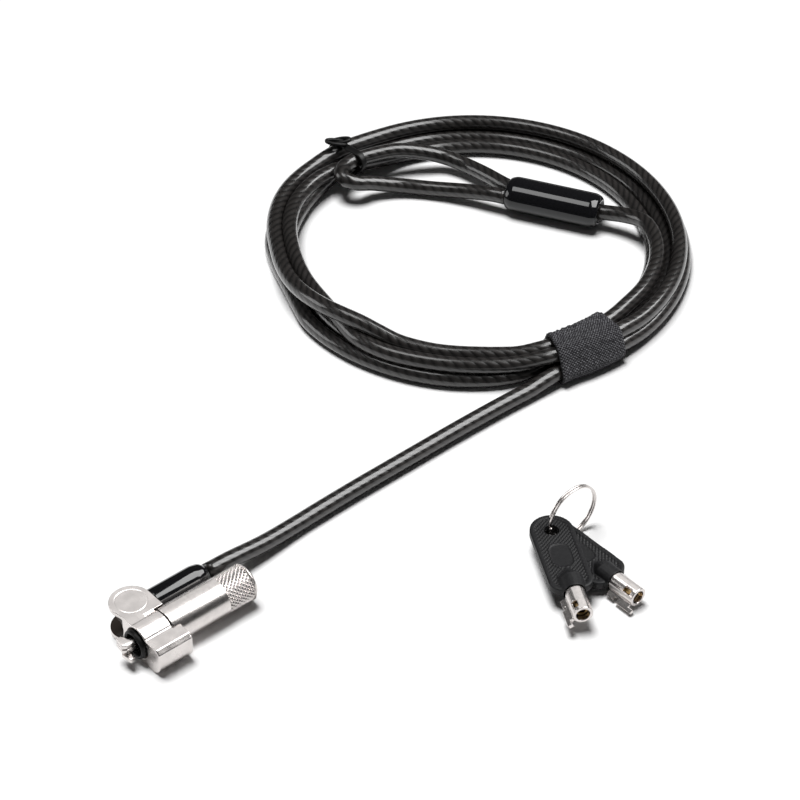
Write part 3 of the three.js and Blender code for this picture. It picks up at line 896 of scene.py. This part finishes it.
def bow_edge_distance(x, y):
    """How far a point of the bow's face lies inside its outline, in millimetres."""
    dx = np.where(x < 0, 0, np.maximum(0, x - (BOW_FRONT - BOW_CORNER)))
    straight = BOW_HALF_W - np.abs(y)
    back = BOW_HALF_W - np.hypot(x, y)
    cy = np.maximum(np.abs(y) - (BOW_HALF_W - BOW_CORNER), 0)
    front = np.where(x > BOW_FRONT - BOW_CORNER, BOW_CORNER - np.hypot(dx, cy), np.inf)
    return np.minimum(np.where(x < 0, back, straight), front)


def bow_relief(x, y):
    """Height of the bow's face: a rim, a diamond-dimpled recess and a plain oval panel in it."""
    edge = bow_edge_distance(x, y)
    neck = np.abs(y) < np.clip((x - 14.0) * 1.1, 0, 3.2)
    recess = step_between(1.0, 1.3, edge) * (1 - neck)
    u, v = (x + y) / DIMPLE_STEP, (x - y) / DIMPLE_STEP
    dimples = np.abs(np.sin(u * math.pi) * np.sin(v * math.pi))
    oval = (np.abs((x - PANEL_X) / PANEL_HALF_L) ** 3 + np.abs(y / PANEL_HALF_W) ** 3) ** (1 / 3)
    line = np.exp(-(((oval - 1) / 0.06) ** 2))
    inside = 1 - step_between(0.95, 1.05, oval)
    rim_line = np.exp(-(((edge - 1.25) / 0.14) ** 2)) * (1 - neck)
    floor = -RECESS_DEPTH + DIMPLE_HEIGHT * dimples * (1 - inside) + 0.14 * inside + 0.20 * line
    return recess * floor + 0.10 * rim_line - 0.12 * (1 - step_between(0.0, 0.35, edge))


def make_bow(key):
    hole, heading = KEYS[key]
    place = Matrix.Translation(Vector(hole) * MM) @ Matrix.Rotation(math.radians(heading), 4, "Z")
    piece = softened(key + "_handle", key + "_bow", 0.17, 3)
    mesh = piece.data
    mesh.transform(place.inverted())
    places = np.empty(len(mesh.vertices) * 3)
    mesh.vertices.foreach_get("co", places)
    places = places.reshape(-1, 3) / MM
    normals = np.empty(len(mesh.vertices) * 3)
    mesh.vertices.foreach_get("normal", normals)
    normals = normals.reshape(-1, 3)
    face = (np.abs(normals[:, 2]) > 0.6) & (np.abs(np.abs(places[:, 2]) - BOW_T / 2) < 0.25)
    push = bow_relief(places[:, 0], places[:, 1]) * face
    places[:, 2] += np.sign(places[:, 2]) * push
    mesh.vertices.foreach_set("co", (places * MM).ravel())
    mesh.transform(place)
    mesh.update()
    shown_as(piece, key, "bow_plastic", MATTE, key + "_bow")


def make_shank(key):
    piece = softened(key + "_tube", key + "_shank", 0.11, 2)
    shown_as(piece, key, "nickel", NICKEL, key + "_shank")


def make_ring():
    """Nearly two turns of flattened wire side by side, with a step from one to the other."""
    section = [
        (WIRE_HALF_W * math.copysign(abs(math.cos(t)) ** WIRE_ROUND, math.cos(t)),
         WIRE_HALF_T * math.copysign(abs(math.sin(t)) ** WIRE_ROUND, math.sin(t)))
        for t in np.linspace(0, math.tau, 17)[:-1]
    ]
    verts = []
    for i in range(RING_STEPS + 1):
        t = i / RING_STEPS
        turn = RING_START + t * math.tau * RING_TURNS
        shift = -RING_SHIFT + 2 * RING_SHIFT * float(step_between(0.46, 0.54, t))
        centre = Vector(RING_CENTRE)
        out = Vector((math.cos(turn), 0, math.sin(turn)))
        for du, dv in section:
            verts.append((centre + out * (RING_R + du) + Vector((0, shift + dv, 0))) * MM)
    sides = len(section)
    faces = []
    for i in range(RING_STEPS):
        for j in range(sides):
            k = (j + 1) % sides
            faces.append((i * sides + j, i * sides + k, (i + 1) * sides + k, (i + 1) * sides + j))
    faces.append(list(range(sides)))
    faces.append([RING_STEPS * sides + j for j in range(sides)][::-1])
    ring = link("ring_wire", verts, faces)
    close_up(ring)
    shown_as(ring, "key_ring", "nickel", NICKEL, "split_ring")


for key in KEYS:
    make_bow(key)
    make_shank(key)
make_ring()


# ---- Floor and light ----

FLOOR_HALF = 3.0
FLOOR_DROP = 0.0001  # keeps the floor clear of the faces that rest on it
KEY_PLACE = (-0.16, 0.18, 1.0)  # places here are right, away and up from the aim point
KEY_SPREAD = math.radians(30)
KEY_STRENGTH = 3.7
WORLD_STRENGTH = 0.03
SOFTBOXES = [  # name, place, size, power in watts and the collection that it lights
    ("front", (0.53, 0.14, 0.84), (0.75, 0.75), 13.8, "pieces"),
    ("overhead", (-0.25, 0.08, 0.97), (0.45, 0.35), 2.2, "pieces"),
    ("left", (-1.0, 0.1, 0.35), (0.5, 0.5), 2.4, "pieces"),
    ("back", (0, 0.9, 0.9), (2.0, 1.8), 9.5, "metal"),
]


def make_floor():
    a = FLOOR_HALF
    floor = link("floor", [(-a, -a, 0), (a, -a, 0), (a, a, 0), (-a, a, 0)], [(0, 1, 2, 3)])
    floor.location.z = -FLOOR_DROP
    made = Shader("floor", Roughness=0.6)
    made.shader.inputs["Base Color"].default_value = (0.93, 0.93, 0.93, 1)
    paint(floor, made.material)
    floor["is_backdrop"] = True
    return floor


def make_light(name, place, size, power, only):
    """A softbox aimed at the object, whose light falls on one collection alone."""
    light = bpy.data.objects.new(name, bpy.data.lights.new(name, "AREA"))
    scene.collection.objects.link(light)
    light.data.shape = "RECTANGLE"
    light.data.size, light.data.size_y = size
    light.data.energy = power
    light.location = place
    light.rotation_euler = (AIM - Vector(place)).to_track_quat("-Z", "Y").to_euler()
    light.light_linking.receiver_collection = only


def make_sun(place, spread, strength, only):
    """A wide even light from the direction of a place, on one collection alone."""
    light = bpy.data.objects.new("key", bpy.data.lights.new("key", "SUN"))
    scene.collection.objects.link(light)
    light.data.angle = spread
    light.data.energy = strength
    light.rotation_euler = (AIM - place).to_track_quat("-Z", "Y").to_euler()
    light.light_linking.receiver_collection = only


def place_from_aim(right, away, up):
    """A point given from the aim point, in the camera's own right and away directions."""
    across = Vector((VIEW_HEADING.y, -VIEW_HEADING.x, 0))
    return AIM + across * right + VIEW_HEADING * away + Vector((0, 0, up))


def make_world():
    world = bpy.data.worlds.new("world")
    world.use_nodes = True
    background = world.node_tree.nodes["Background"]
    background.inputs["Color"].default_value = (1, 1, 1, 1)
    background.inputs["Strength"].default_value = WORLD_STRENGTH
    scene.world = world


floor = make_floor()
receivers = {}
for kind in ("pieces", "metal", "floor"):
    receivers[kind] = bpy.data.collections.new("light_on_" + kind)
receivers["floor"].objects.link(floor)
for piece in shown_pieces():
    receivers["pieces"].objects.link(piece)
    if piece.data.materials[0] in (NICKEL, CASTING, STEEL, BRASS):
        receivers["metal"].objects.link(piece)
make_sun(place_from_aim(*KEY_PLACE), KEY_SPREAD, KEY_STRENGTH, receivers["floor"])
for name, place, size, power, kind in SOFTBOXES:
    make_light(name, place_from_aim(*place), size, power, receivers[kind])
make_world()
scene.view_settings.view_transform = "Standard"
